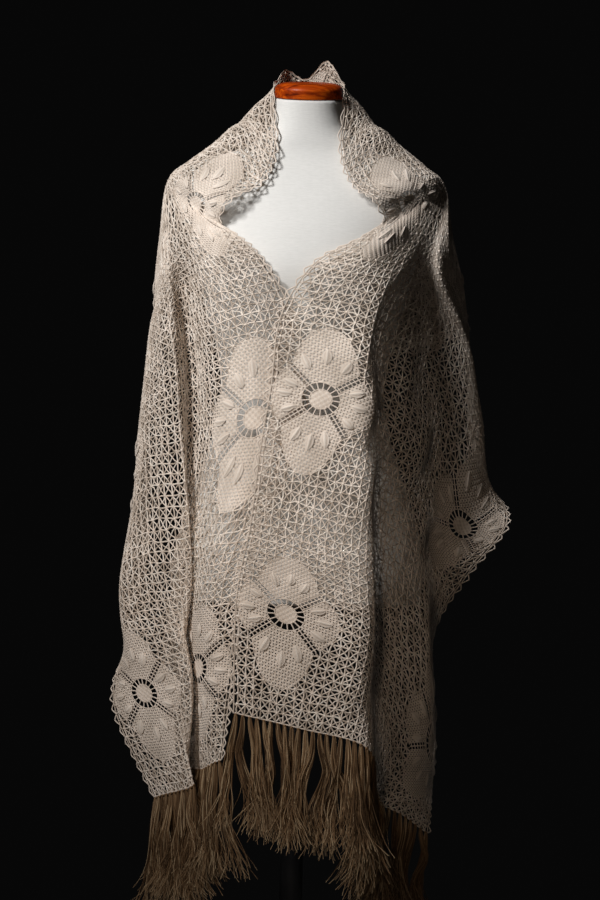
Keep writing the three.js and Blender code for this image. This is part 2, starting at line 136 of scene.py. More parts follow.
# Form: height, half width, reach to the front, reach to the back
FORM = np.array([
    (776, 168, 108, 112),
    (800, 174, 111, 118),
    (850, 171, 110, 116),
    (920, 152, 103, 104),
    (1000, 125, 93, 86),
    (1062, 114, 88, 78),
    (1120, 120, 96, 84),
    (1185, 139, 114, 94),
    (1225, 149, 121, 99),
    (1275, 162, 111, 102),
    (1320, 174, 92, 98),
    (1350, 183, 76, 90),
    (1368, 178, 66, 82),
    (1384, 150, 58, 74),
    (1398, 112, 53, 66),
    (NECK_BASE_Z, 80, 51, 58),
    (1432, 58, 49, 51),
    (1455, 49, 48, 46),
    (NECK_TOP_Z, 46, 48, 44),
], float)

# Shawl over back and shoulders, right half: distance from the centre of the back,
# then points from the inner edge down to the hem
SHOULDER = {
    0: [(0, 58, 1519), (0, 64, 1440), (0, 92, 1350), (0, 116, 1272), (0, 132, 1190), (0, 138, 1108)],
    105: [(49, -6, 1484), (80, 22, 1466), (106, 64, 1396), (112, 96, 1300), (120, 112, 1214),
          (122, 118, 1132)],
    160: [(44, -58, 1402), (105, -6, 1436), (138, 52, 1382), (150, 90, 1290), (155, 105, 1210),
          (158, 110, 1137)],
    225: [(62, -86, 1348), (149, -5, 1399), (178, 45, 1344), (187, 75, 1272), (189, 86, 1198),
          (190, 88, 1138)],
}

# Standing collar behind the neck: a bump on the left, a pinched peak on the right
COLLAR = {
    -72: [(-39, 34, 1521), (-54, 48, 1443), (-70, 82, 1364), (-78, 108, 1282), (-83, 122, 1201),
          (-85, 126, 1122)],
    34: [(22, 53, 1542), (28, 61, 1440), (34, 90, 1352), (38, 114, 1274), (40, 129, 1193), (41, 134, 1112)],
    58: [(32, 43, 1535), (45, 56, 1436), (56, 88, 1354), (64, 112, 1276), (68, 125, 1196), (70, 128, 1118)],
}

# Right front, outermost layer: inner edge to outer edge, lapel and tuck first, fringed end last
RIGHT_FRONT = {
    290: [(95, -102, 1320), (130, -75, 1338), (168, -38, 1356), (192, 0, 1364), (205, -10, 1288),
          (223, 10, 1222), (235, 66, 1170)],
    318: [(106, -94, 1299), (134, -68, 1318), (171, -36, 1340), (193, -6, 1350), (198, -34, 1278),
          (217, -4, 1213), (237, 54, 1150)],
    350: [(82, -112, 1278), (118, -99, 1287), (150, -71, 1298), (179, -43, 1297), (187, -51, 1257),
          (213, -12, 1198), (238, 46, 1124)],
    430: [(10, -128, 1234), (70, -136, 1226), (122, -108, 1222), (134, -91, 1220), (160, -62, 1214),
          (172, -48, 1202), (239, 2, 1112), (240, 66, 1014)],
    485: [(-23, -136, 1186), (45, -144, 1180), (93, -144, 1168), (102, -114, 1160), (158, -64, 1140),
          (168, -42, 1126), (252, 20, 1044), (260, 76, 963)],
    620: [(-44, -150, 1063), (21, -156, 1054), (91, -159, 1036), (101, -122, 1024), (166, -66, 984),
          (176, -32, 962), (233, 2, 880), (292, 20, 884)],
    700: [(-55, -154, 985), (12, -160, 972), (92, -161, 952), (102, -118, 936), (170, -62, 884),
          (180, -30, 862), (212, -8, 826), (240, 4, 818)],
    780: [(-64, -159, 898), (2, -164, 885), (93, -163, 862), (104, -114, 842), (176, -58, 790),
          (186, -30, 772), (192, -8, 760), (198, 16, 746)],
    930: [(-82, -163, 788), (-34, -167, 776), (95, -166, 735), (107, -104, 692), (182, -54, 605),
          (189, -40, 586), (196, -16, 562), (197, 16, 546)],
    1070: [(-82, -165, 640), (6, -169, 622), (97, -166, 597), (111, -92, 516), (146, -76, 496),
           (160, -70, 486), (172, -65, 476), (186, -60, 466)],
}

# Left front, under the right one where they cross, with a pleat that deepens to the end
LEFT_FRONT = {
    290: [(-108, -107, 1314), (-140, -76, 1328), (-172, -40, 1350), (-193, 0, 1363), (-205, 16, 1285),
          (-212, 32, 1206), (-206, 74, 1136)],
    318: [(-118, -95, 1292), (-145, -67, 1308), (-174, -37, 1332), (-195, -4, 1348), (-205, -2, 1270),
          (-211, 12, 1194), (-211, 60, 1122)],
    350: [(-98, -112, 1276), (-126, -101, 1282), (-154, -72, 1292), (-181, -43, 1295), (-197, -34, 1256),
          (-205, -14, 1200), (-214, 46, 1106)],
    430: [(-54, -126, 1235), (-100, -126, 1226), (-138, -92, 1220), (-163, -46, 1212), (-173, -40, 1209),
          (-181, -56, 1200), (-212, -24, 1156), (-217, 42, 1044)],
    485: [(-23, -131, 1186), (-80, -136, 1172), (-133, -98, 1158), (-159, -40, 1150), (-169, -34, 1146),
          (-176, -58, 1142), (-218, -12, 1098), (-218, 52, 986)],
    620: [(3, -134, 1033), (-57, -139, 1028), (-112, -112, 1020), (-149, -42, 1008), (-160, -35, 1006),
          (-159, -64, 1000), (-228, 0, 976), (-217, 62, 874)],
    780: [(-62, -134, 838), (-97, -132, 830), (-121, -116, 824), (-162, -22, 813), (-174, -22, 811),
          (-144, -84, 806), (-206, -42, 792), (-250, 0, 776), (-226, 50, 742)],
    930: [(-82, -134, 692), (-112, -122, 692), (-134, -90, 688), (-172, 8, 680), (-186, 4, 679),
          (-136, -101, 672), (-186, -62, 652), (-234, -18, 640), (-256, 4, 630)],
    1070: [(-96, -133, 573), (-111, -114, 564), (-123, -86, 552), (-156, 10, 537), (-170, 7, 535),
           (-134, -107, 533), (-163, -76, 518), (-180, -56, 510), (-192, -40, 503)],
}

# Stretches of the shawl: name, start and end along the length
STRETCHES = [
    ("left_front", -1070, -465),
    ("left_lapel", -465, -155),
    ("back", -155, 155),
    ("right_lapel", 155, 465),
    ("right_front", 465, 1070),
]

# Camera framed for a picture of 600 x 900 pixels, the form's axis leaning a little; the picture's size is
# not set here
CAMERA_AT = (-1.3, -2600, 986)
CAMERA_LENS = 74.3
CAMERA_ROLL = math.radians(-1.31)
FLOOR_RADIUS = 700

camera = bpy.data.objects.new("camera", bpy.data.cameras.new("camera"))
camera.data.lens = CAMERA_LENS
camera.data.sensor_width = 36
camera.location = np.array(CAMERA_AT) * METRE
camera.rotation_euler = (math.pi / 2, CAMERA_ROLL, 0)
bpy.context.scene.collection.objects.link(camera)
bpy.context.scene.camera = camera

rng = np.random.default_rng(7354)


# Shape of the cloth

def through(values, knots, at):
    """Smooth curve through rows of numbers at their knots, straight on past either end."""
    values = np.asarray(values, float)
    knots = np.asarray(knots, float)
    at = np.asarray(at, float)
    column = (-1,) + (1,) * (values.ndim - 1)
    gap = np.diff(knots)
    slope = np.diff(values, axis=0) / gap.reshape(column)
    before, after = gap[:-1].reshape(column), gap[1:].reshape(column)
    inner = (after * slope[:-1] + before * slope[1:]) / (before + after)
    tangent = np.concatenate([slope[:1], inner, slope[-1:]])
    held = np.clip(at, knots[0], knots[-1])
    i = np.clip(np.searchsorted(knots, held, side="right") - 1, 0, len(gap) - 1)
    h = gap[i].reshape(column)
    s = ((held - knots[i]) / gap[i]).reshape(column)
    past = (at - held).reshape(column)
    beyond = past * np.where(past > 0, slope[-1], slope[0])
    return ((2 * s**3 - 3 * s**2 + 1) * values[i] + (s**3 - 2 * s**2 + s) * h * tangent[i]
            + (3 * s**2 - 2 * s**3) * values[i + 1] + (s**3 - s**2) * h * tangent[i + 1] + beyond)


def distances(points):
    return np.linalg.norm(np.diff(points, axis=0), axis=1)


def section(points, mirror=1):
    """Evenly spaced points from the inner edge to the outer edge of one row."""
    points = np.array(points, float) * (mirror, 1, 1)
    knots = np.concatenate([[0], np.cumsum(np.sqrt(distances(points)))])
    fine = through(points, knots, np.linspace(0, knots[-1], 241))
    run = np.concatenate([[0], np.cumsum(distances(fine))])
    want = np.linspace(0, run[-1], RIBS + 1)
    return np.stack([np.interp(want, run, fine[:, k]) for k in range(3)], axis=1)


def shawl_rows():
    rows = {-at: section(points) for at, points in LEFT_FRONT.items()}
    rows |= {-at: section(points, -1) for at, points in SHOULDER.items() if at}
    rows |= {at: section(points) for at, points in (SHOULDER | COLLAR | RIGHT_FRONT).items()}
    order = sorted(rows)
    return np.array(order, float), np.array([rows[at] for at in order])


def form_level(p):
    """How far out points lie as a share of the form's own reach in their direction."""
    size = through(FORM[:, 1:], FORM[:, 0], np.clip(p[:, 2], FORM[0, 0], NECK_TOP_Z))
    reach = np.where(p[:, 1] < 0, size[:, 1], size[:, 2])
    n = FORM_SQUARENESS
    return ((np.abs(p[:, 0]) / size[:, 0]) ** n + (np.abs(p[:, 1]) / reach) ** n) ** (1 / n)


def clear_of_form(points, clearance):
    """Points moved straight out of the form until they stand clear of the cover."""
    near = (points[:, 2] > FORM[0, 0] - 10) & (points[:, 2] < NECK_TOP_Z + CAP_HEIGHT + 6)
    q = points[near]
    for _ in range(4):
        slope = np.stack([form_level(q + d) - form_level(q - d) for d in 0.5 * np.eye(3)], axis=1)
        steep = np.linalg.norm(slope, axis=1)
        short = np.maximum(0, clearance - (form_level(q) - 1) / steep)
        q = q + slope * (short / steep)[:, None]
    points = points.copy()
    points[near] = q
    return points


GRID_STEP = 3.0
GRID_ALONG = np.arange(-LENGTH / 2 - 12, LENGTH / 2 + 12.1, GRID_STEP)
GRID_ACROSS = np.arange(-9, WIDTH + 9.1, GRID_STEP)


def cloth_grid():
    """Places of the middle of the cloth on an even grid, and its outward directions."""
    row_at, row_ribs = shawl_rows()
    ribs = through(row_ribs, row_at, GRID_ALONG)
    rib_at = np.linspace(0, WIDTH, RIBS + 1)
    p = through(ribs.transpose(1, 0, 2), rib_at, GRID_ACROSS).transpose(1, 0, 2)
    along, across = np.meshgrid(GRID_ALONG, GRID_ACROSS, indexing="ij")
    sideways = np.cos(np.pi * along / (2 * BACK_FOLD_REACH)) ** 2 * (np.abs(along) < BACK_FOLD_REACH)
    down = np.maximum(0, across - BACK_FOLD_FROM) / (WIDTH - BACK_FOLD_FROM)
    p[..., 1] += BACK_FOLD_DEPTH * np.cos(2 * np.pi * along / BACK_FOLD_PITCH) * sideways * down
    p = clear_of_form(p.reshape(-1, 3), CLOTH_CLEARANCE + WALL / 2).reshape(p.shape)
    out = np.cross(np.gradient(p, axis=0), np.gradient(p, axis=1))
    return p, out / np.linalg.norm(out, axis=-1, keepdims=True)


CLOTH, OUTWARD = cloth_grid()


def on_cloth(places, lift=0.0):
    """Points on the draped cloth, and outward directions there, for places (along, across)."""
    places = np.asarray(places, float)
    i = (places[..., 0] - GRID_ALONG[0]) / GRID_STEP
    j = (places[..., 1] - GRID_ACROSS[0]) / GRID_STEP
    i0 = np.clip(i.astype(int), 0, len(GRID_ALONG) - 2)
    j0 = np.clip(j.astype(int), 0, len(GRID_ACROSS) - 2)
    s = (i - i0)[..., None]
    t = (j - j0)[..., None]

    def mix(grid):
        low = grid[i0, j0] * (1 - t) + grid[i0, j0 + 1] * t
        high = grid[i0 + 1, j0] * (1 - t) + grid[i0 + 1, j0 + 1] * t
        return low * (1 - s) + high * s

    out = mix(OUTWARD)
    out = out / np.linalg.norm(out, axis=-1, keepdims=True)
    return mix(CLOTH) + out * np.asarray(lift, float)[..., None], out


# Gathering small meshes into one piece

class Gathered:
    """Points, faces, shade and thread map of one piece, put together from arrays."""

    def __init__(self):
        self.points, self.quads, self.shades, self.maps, self.count = [], [], [], [], 0

    def add(self, points, quads, shade, thread_map=None):
        points = np.asarray(points, float).reshape(-1, 3)
        n = len(points)
        self.points.append(points)
        self.quads.append(np.asarray(quads, int).reshape(-1, 4) + self.count)
        self.shades.append(np.broadcast_to(np.asarray(shade, float).reshape(-1), (n,)))
        self.maps.append(np.zeros((n, 2)) if thread_map is None else thread_map.reshape(-1, 2))
        self.count += n

    def piece(self, name, material):
        points = np.concatenate(self.points) * METRE
        quads = np.concatenate(self.quads)
        mesh = bpy.data.meshes.new(name)
        mesh.vertices.add(len(points))
        mesh.vertices.foreach_set("co", points.ravel())
        mesh.loops.add(quads.size)
        mesh.loops.foreach_set("vertex_index", quads.ravel().astype(np.int32))
        mesh.polygons.add(len(quads))
        mesh.polygons.foreach_set("loop_start", np.arange(0, quads.size, 4, dtype=np.int32))
        mesh.update(calc_edges=True)
        mesh.validate()
        mesh.shade_smooth()
        shade = mesh.attributes.new("shade", "FLOAT", "POINT")
        shade.data.foreach_set("value", np.concatenate(self.shades).astype(np.float32))
        thread = mesh.uv_layers.new(name="thread")
        thread.data.foreach_set("uv", np.concatenate(self.maps)[quads.ravel()].astype(np.float32).ravel())
        mesh.materials.append(material)
        obj = bpy.data.objects.new(name, mesh)
        bpy.context.scene.collection.objects.link(obj)
        return obj


def of_part(piece, slot_name, *solids):
    """Piece that goes with the part, in the place of its solids."""
    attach(piece, "root")
    if solids:
        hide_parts(*solids)


def strips(gathered, centres, outward, half, shade, sides=3):
    """Half-round strips along the paths centres (count, steps, 3), half = (width, height)."""
    count, steps = centres.shape[:2]
    tangent = np.gradient(centres, axis=1)
    side = np.cross(outward, tangent)
    side /= np.linalg.norm(side, axis=-1, keepdims=True) + 1e-9
    angles = np.linspace(0, np.pi, sides + 1)
    wide = np.broadcast_to(half[0], (count, steps))[..., None, None]
    high = np.broadcast_to(half[1], (count, steps))[..., None, None]
    arch = (centres[:, :, None] + np.cos(angles)[:, None] * wide * side[:, :, None]
            + (np.sin(angles)[:, None] - 0.5) * high * outward[:, :, None])
    at = np.arange(arch.size // 3).reshape(arch.shape[:3])
    near, far = at[:, :-1], at[:, 1:]
    quads = np.stack([near[..., :-1], near[..., 1:], far[..., 1:], far[..., :-1]], axis=-1)
    run = np.linalg.norm(np.diff(centres, axis=1, prepend=centres[:, :1]), axis=-1).cumsum(axis=1)
    spot = np.stack(np.broadcast_arrays(run[:, :, None], angles), axis=-1)
    shade = np.asarray(shade, float)
    shade = np.broadcast_to(shade.reshape(shade.shape + (1,) * (3 - shade.ndim)), arch.shape[:3])
    gathered.add(arch, quads, shade, spot)


def threads(gathered, places, half, shade):
    """Threads that lie on the cloth along paths of places (count, steps, 2)."""
    if len(places):
        centres, outward = on_cloth(places)
        strips(gathered, centres, outward, half, shade)


def blobs(gathered, places, radius, height, shade):
    """Small eight-sided buttons where threads meet."""
    if not len(places):
        return
    centres, outward = on_cloth(places)
    ahead = on_cloth(places + (1.0, 0.0))[0] - centres
    side = np.cross(outward, ahead)
    side /= np.linalg.norm(side, axis=-1, keepdims=True)
    ahead = np.cross(side, outward)
    angles = 2 * np.pi * np.arange(8) / 8
    rim = centres[:, None] + radius * (np.cos(angles)[:, None] * ahead[:, None]
                                       + np.sin(angles)[:, None] * side[:, None])
    top = centres + outward * height
    bottom = centres - outward * height
    points = np.concatenate([rim, top[:, None], bottom[:, None]], axis=1)
    k = np.arange(0, 8, 2)
    upper = np.stack([k, k + 1, (k + 2) % 8, np.full(4, 8)], axis=1)
    lower = np.stack([np.full(4, 9), (k + 2) % 8, k + 1, k], axis=1)
    quads = np.concatenate([upper, lower])[None] + 10 * np.arange(len(places))[:, None, None]
    gathered.add(points, quads, np.repeat(shade, 10))


# Flowers

def petal_reach(angle):
    """Radius of a flower's outline: angle 0 along the shawl, positive inward from its edge."""
    quarter = np.round(angle / (np.pi / 2))
    off = angle - quarter * np.pi / 2
    tip = np.where(quarter % 2 == 0, PETAL_ALONG, np.where(quarter > 0, PETAL_INWARD, PETAL_TO_EDGE))
    return NOTCH + (tip - NOTCH) * np.maximum(np.cos(2 * off), 0) ** PETAL_POINT


def flower_frame(places):
    """Nearest flower's place, and places measured from it with the second one positive inward."""
    k = np.clip(np.round(places[..., 0] / FLOWER_PITCH), -FLOWER_LAST, FLOWER_LAST)
    upper = places[..., 1] > WIDTH / 2
    centre = np.stack([k * FLOWER_PITCH, np.where(upper, WIDTH - FLOWER_FROM_EDGE, FLOWER_FROM_EDGE)], -1)
    return (places - centre) * np.stack([np.ones_like(k), np.where(upper, -1, 1)], -1)


def in_flower(places):
    local = flower_frame(places)
    radius = np.hypot(local[..., 0], local[..., 1])
    return radius < petal_reach(np.arctan2(local[..., 1], local[..., 0]))


def cut_at_flowers(start, end):
    """Ends of straight threads, without what lies in a flower."""
    inside_a, inside_b = in_flower(start), in_flower(end)
    keep = ~(inside_a & inside_b)
    start, end = start[keep], end[keep]
    inside_a, inside_b = inside_a[keep], inside_b[keep]
    flip = inside_a[:, None]
    start, end = np.where(flip, end, start), np.where(flip, start, end)
    cut = inside_a | inside_b
    low, high = np.zeros(len(start)), np.ones(len(start))
    for _ in range(12):
        middle = (low + high) / 2
        inside = in_flower(start + middle[:, None] * (end - start))
        low, high = np.where(inside, low, middle), np.where(inside, middle, high)
    share = np.where(cut, high, 1.0)[:, None]
    return start, start + share * (end - start)


def patch_quads(index):
    """Faces of a patch from the grid of its points' numbers."""
    return np.stack([index[:-1, :-1], index[1:, :-1], index[1:, 1:], index[:-1, 1:]], axis=-1)


def flower(gathered, along, upper):
    """Four woven petals with leaves, pierced seams, a ring of spokes and a woven heart."""
    inward = -1 if upper else 1
    centre = np.array([along, WIDTH - FLOWER_FROM_EDGE if upper else FLOWER_FROM_EDGE], float)

    def at(local):
        return centre + np.asarray(local, float) * (1, inward)

    def polar(radius, angle):
        radius, angle = np.broadcast_arrays(radius, angle)
        return np.stack([radius * np.cos(angle), radius * np.sin(angle)], axis=-1)

    # woven cloth stitch with pinholes in the petals, its crossings lifted and sunk by turns; the lifted
    # crossings are painted lighter and the sunk ones darker, a painted highlight and painted shade
    reach = int(PETAL_ALONG / PINHOLE_PITCH) + 2
    k = np.arange(-reach, reach + 1)
    line = np.stack([k * PINHOLE_PITCH - PINHOLE_HALF, k * PINHOLE_PITCH + PINHOLE_HALF], axis=1).ravel()
    crown = np.stack([k - 1, k], axis=1).ravel()
    a, b = np.meshgrid(line, line, indexing="ij")
    mid = (line[1:] + line[:-1]) / 2
    ma, mb = np.meshgrid(mid, mid, indexing="ij")
    radius = np.hypot(ma, mb)
    outline = petal_reach(np.arctan2(mb, ma))
    seam = np.abs(np.abs(ma) - np.abs(mb)) / math.sqrt(2) < SEAM_HALF
    petals = (radius < outline) & (radius > RING_RADIUS) & ~seam
    heart = radius < HEART_RADIUS
    fine = np.arange(len(mid))
    pinhole = (fine[:, None] % 2 == 0) & (fine[None, :] % 2 == 0)
    solid = (petals & ~pinhole) | heart
    angle = np.arctan2(b, a)
    far = np.hypot(a, b)
    held = np.minimum(far, petal_reach(angle))
    local = polar(held, angle)
    sign = np.where((crown[:, None] + crown[None, :]) % 2 == 0, 1.0, -1.0)
    points, _ = on_cloth(at(local), WEAVE_LIFT * sign)
    index = np.arange(a.size).reshape(a.shape)
    quads = patch_quads(index)[solid]
    if upper:
        quads = quads[:, ::-1]
    used, packed = np.unique(quads, return_inverse=True)
    spot = np.stack([a, b], axis=-1).reshape(-1, 2)[used]
    # shade by crossing: painted highlight on the lifted crossings, painted shade on the sunk ones
    gathered.add(points.reshape(-1, 3)[used], packed.reshape(-1, 4), 0.5 + 0.12 * sign.ravel()[used], spot)

    # cords round the petals, the ring and the heart
    turn = np.linspace(0, 2 * np.pi, 49)
    for size in (HEART_RADIUS, RING_RADIUS):
        threads(gathered, at(polar(size, turn))[None], RING_HALF, 0.45)
    spokes = 2 * np.pi * (np.arange(RING_SPOKES) + 0.5) / RING_SPOKES
    reaches = np.linspace(HEART_RADIUS, RING_RADIUS, 3)
    threads(gathered, at(polar(reaches[None, :], spokes[:, None])), SPOKE_HALF, 0.5)
    for quarter in range(4):
        axis = (quarter - 1) * np.pi / 2
        swing = np.linspace(-1, 1, 31) * np.pi / 4
        lobe = petal_reach(axis + swing * 0.999)
        # seams leave a gap beside the neighbouring petal
        off = np.minimum(np.arcsin(np.minimum(1, SEAM_HALF / lobe)), np.pi / 4)
        swing = np.clip(swing, -np.pi / 4 + off, np.pi / 4 - off)
        rim = polar(lobe, axis + swing)
        foot = np.pi / 4 - np.arcsin(SEAM_HALF / RING_RADIUS)
        feet = polar(RING_RADIUS, axis + np.array([-foot, foot]))
        path = np.concatenate([feet[:1], rim, feet[1:]])
        threads(gathered, at(path)[None], RIM_HALF, 0.5)

    # seams between petals: a rib with rungs to both sides
    for quarter in range(4):
        axis = (quarter - 1.5) * np.pi / 2
        notch = float(petal_reach(np.array(axis)))
        threads(gathered, at(polar(np.linspace(RING_RADIUS, notch, 9), axis))[None], RIB_HALF, 0.52)
        steps = np.arange(RING_RADIUS + 3, notch, SEAM_RUNG_PITCH)
        across = np.linspace(-SEAM_HALF, SEAM_HALF, 3)
        ribs = polar(steps, axis)[:, None] + across[None, :, None] * polar(1.0, axis + np.pi / 2)
        threads(gathered, at(ribs), RUNG_HALF, 0.5)

    # raised leaves of lengthwise stitches, three to a petal; their raised ridges are painted lighter and
    # the grooves between darker, a painted highlight and painted shade
    s = np.linspace(-1, 1, 11)[:, None]
    t = np.linspace(-1, 1, 9)[None, :]
    belly = np.maximum(1 - s**2, 0)
    ridge = np.cos(2 * np.pi * t) * belly**0.5
    lift = LEAF_HEIGHT * belly**0.6 * (1 - t**2) + LEAF_RIDGE * ridge + LEAF_FOOT
    grid = np.arange(s.size * t.size).reshape(s.size, t.size)
    leaf_quads = patch_quads(grid).reshape(-1, 4)
    if upper:
        leaf_quads = leaf_quads[:, ::-1]
    for quarter in range(4):
        axis = (quarter - 1) * np.pi / 2
        tip = float(petal_reach(np.array(axis)))
        middle = 24 + 0.36 * tip
        for place in (-1, 0, 1):
            heading = axis + place * LEAF_ANGLE * (1 if quarter % 2 else 1.25) + rng.normal(0, 0.05)
            radius = middle * (1 if place == 0 else 0.9) + rng.normal(0, 1.2)
            length = min(LEAF_LENGTH, 0.32 * tip) * rng.uniform(0.9, 1.08)
            width = LEAF_WIDTH * belly**0.85 / 2
            local = (polar(radius, heading) + s[..., None] * length / 2 * polar(1.0, heading)
                     + (t * width)[..., None] * polar(1.0, heading + np.pi / 2))
            points, _ = on_cloth(at(local), lift)
            spot = np.stack(np.broadcast_arrays(s * length, t * LEAF_WIDTH), axis=-1)
            # shade follows the ridges: painted highlight on the ridge tops, painted shade in the grooves
            gathered.add(points, leaf_quads, 0.6 + 0.24 * ridge, spot)


# Materials

def material(name, roughness, sheen=0.0, coat=0.0, specular=0.5):
    m = bpy.data.materials.new(name)
    m.use_nodes = True
    shader = m.node_tree.nodes["Principled BSDF"]
    shader.inputs["Roughness"].default_value = roughness
    shader.inputs["Sheen Weight"].default_value = sheen
    shader.inputs["Coat Weight"].default_value = coat
    shader.inputs["Specular IOR Level"].default_value = specular
    return m, shader


def node(m, kind, **values):
    made = m.node_tree.nodes.new(kind)
    for key, value in values.items():
        if hasattr(made, key):
            setattr(made, key, value)
        else:
            made.inputs[key.replace("_", " ")].default_value = value
    return made


def ramp(m, stops):
    made = m.node_tree.nodes.new("ShaderNodeValToRGB")
    elements = made.color_ramp.elements
    while len(elements) < len(stops):
        elements.new(0.5)
    for element, (place, colour) in zip(elements, stops):
        element.position = place
        element.color = (*colour, 1)
    return made


def link(m, source, target):
    m.node_tree.links.new(source, target)


def mixed(m, kind, factor, a, b):
    """Colour of a blended with b."""
    made = node(m, "ShaderNodeMix", data_type="RGBA", blend_type=kind)
    made.inputs["Factor"].default_value = factor
    link(m, a, made.inputs["A"])
    link(m, b, made.inputs["B"])
    return made.outputs["Result"]


def thread_material(name, stops, twist_pitch, sheen):
    """Linen thread: shade by thread, soft blotches, twisted plies."""
    m, shader = material(name, 0.88, sheen=sheen, specular=0.25)
    shade = node(m, "ShaderNodeAttribute", attribute_name="shade")
    tones = ramp(m, stops)
    link(m, shade.outputs["Fac"], tones.inputs["Fac"])
    place = node(m, "ShaderNodeTexCoord")
    blotch = node(m, "ShaderNodeTexNoise", Scale=26.0, Detail=3.0)
    link(m, place.outputs["Object"], blotch.inputs["Vector"])
    worn = ramp(m, [(0.32, (0.74, 0.725, 0.705)), (0.68, (1.0, 1.0, 1.0))])
    link(m, blotch.outputs["Fac"], worn.inputs["Fac"])
    link(m, mixed(m, "MULTIPLY", 1.0, tones.outputs["Color"], worn.outputs["Color"]),
         shader.inputs["Base Color"])
    uv = node(m, "ShaderNodeUVMap", uv_map="thread")
    plies = node(m, "ShaderNodeTexWave", Scale=1.0 / twist_pitch, Distortion=1.2,
                 bands_direction="DIAGONAL")
    link(m, uv.outputs["UV"], plies.inputs["Vector"])
    bump = node(m, "ShaderNodeBump", Strength=0.35, Distance=0.0004)
    link(m, plies.outputs["Fac"], bump.inputs["Height"])
    link(m, bump.outputs["Normal"], shader.inputs["Normal"])
    return m


def cover_material():
    """Taut off-white linen in a plain weave with slubs."""
    m, shader = material("cover_linen", 0.86, sheen=0.15, specular=0.25)
    place = node(m, "ShaderNodeTexCoord")
    weft = node(m, "ShaderNodeTexWave", Scale=190.0, Distortion=0.6, bands_direction="Z")
    warp = node(m, "ShaderNodeTexWave", Scale=190.0, Distortion=0.6, bands_direction="X")
    weave = node(m, "ShaderNodeMath", operation="MULTIPLY")
    slub = node(m, "ShaderNodeTexNoise", Scale=120.0, Detail=4.0)
    stretch = node(m, "ShaderNodeMapping")
    stretch.inputs["Scale"].default_value = (1.0, 1.0, 7.0)
    for texture in (weft, warp):
        link(m, place.outputs["Object"], texture.inputs["Vector"])
    link(m, place.outputs["Object"], stretch.inputs["Vector"])
    link(m, stretch.outputs["Vector"], slub.inputs["Vector"])
    link(m, weft.outputs["Fac"], weave.inputs[0])
    link(m, warp.outputs["Fac"], weave.inputs[1])
    tones = ramp(m, [(0.25, (0.715, 0.70, 0.668)), (0.75, (0.80, 0.782, 0.75))])
    link(m, slub.outputs["Fac"], tones.inputs["Fac"])
    link(m, tones.outputs["Color"], shader.inputs["Base Color"])
    height = node(m, "ShaderNodeMath", operation="ADD")
    link(m, weave.outputs["Value"], height.inputs[0])
    link(m, slub.outputs["Fac"], height.inputs[1])
    bump = node(m, "ShaderNodeBump", Strength=0.25, Distance=0.0006)
    link(m, height.outputs["Value"], bump.inputs["Height"])
    link(m, bump.outputs["Normal"], shader.inputs["Normal"])
    return m


def wood_material():
    """Orange-brown turned wood under gloss varnish."""
    m, shader = material("cap_wood", 0.4, coat=0.06, specular=0.12)
    shader.inputs["Coat Roughness"].default_value = 0.2
    place = node(m, "ShaderNodeTexCoord")
    stretch = node(m, "ShaderNodeMapping")
    stretch.inputs["Scale"].default_value = (6.0, 60.0, 60.0)
    grain = node(m, "ShaderNodeTexNoise", Scale=3.0, Detail=6.0, Distortion=0.8)
    link(m, place.outputs["Object"], stretch.inputs["Vector"])
    link(m, stretch.outputs["Vector"], grain.inputs["Vector"])
    tones = ramp(m, [(0.3, (0.10, 0.009, 0.001)), (0.5, (0.36, 0.04, 0.002)), (0.72, (0.66, 0.11, 0.005))])
    link(m, grain.outputs["Fac"], tones.inputs["Fac"])
    link(m, tones.outputs["Color"], shader.inputs["Base Color"])
    return m


def metal_material():
    """Black paint with a fine orange-peel grain."""
    m, shader = material("stand_metal", 0.42, specular=0.5)
    place = node(m, "ShaderNodeTexCoord")
    grain = node(m, "ShaderNodeTexNoise", Scale=700.0, Detail=2.0)
    link(m, place.outputs["Object"], grain.inputs["Vector"])
    tones = ramp(m, [(0.3, (0.010, 0.010, 0.011)), (0.7, (0.016, 0.016, 0.017))])
    link(m, grain.outputs["Fac"], tones.inputs["Fac"])
    link(m, tones.outputs["Color"], shader.inputs["Base Color"])
    bump = node(m, "ShaderNodeBump", Strength=0.12, Distance=0.0003)
    link(m, grain.outputs["Fac"], bump.inputs["Height"])
    link(m, bump.outputs["Normal"], shader.inputs["Normal"])
    return m


LACE = thread_material("lace_linen", [(0.0, (0.44, 0.355, 0.28)), (0.5, (0.86, 0.735, 0.63)),
                                      (1.0, (0.94, 0.865, 0.775))], 1.8, 0.05)
FRINGE = thread_material("fringe_linen", [(0.0, (0.085, 0.044, 0.018)), (0.55, (0.26, 0.15, 0.072)),
                                          (1.0, (0.60, 0.44, 0.27))], 2.2, 0.05)
COVER = cover_material()
WOOD = wood_material()
METAL = metal_material()


# Lace ground, edging and flowers of the five stretches

def ground_threads():
    """Places of the stars, then the two ends of the legs and of the diagonals between them."""
    along = np.linspace(-LENGTH / 2, LENGTH / 2, STAR_COLUMNS + 1)
    across = np.linspace(EDGE_TO_STARS, WIDTH - EDGE_TO_STARS, STAR_ROWS)
    stars = np.stack(np.meshgrid(along, across, indexing="ij"), axis=-1)
    shift = rng.uniform(-STAR_JITTER, STAR_JITTER, stars.shape)
    shift[[0, -1]] = 0
    stars = stars + shift
    middles = (stars[:-1, :-1] + stars[1:, :-1] + stars[:-1, 1:] + stars[1:, 1:]) / 4
    middles = middles + rng.uniform(-MIDDLE_JITTER, MIDDLE_JITTER, middles.shape)
    legs = [(stars[:-1], stars[1:]), (stars[:, :-1], stars[:, 1:])]
    foot = np.stack([along, np.full_like(along, FOOT_AT)], axis=-1)
    legs.append((stars[:, 0], foot))
    legs.append((stars[:, -1], foot * (1, -1) + (0, WIDTH)))
    diagonals = [(stars[i:STAR_COLUMNS + i, j:STAR_ROWS - 1 + j], middles) for i in (0, 1) for j in (0, 1)]
    return stars.reshape(-1, 2), *(
        [np.concatenate([pair[k].reshape(-1, 2) for pair in group]) for k in (0, 1)]
        for group in (legs, diagonals))


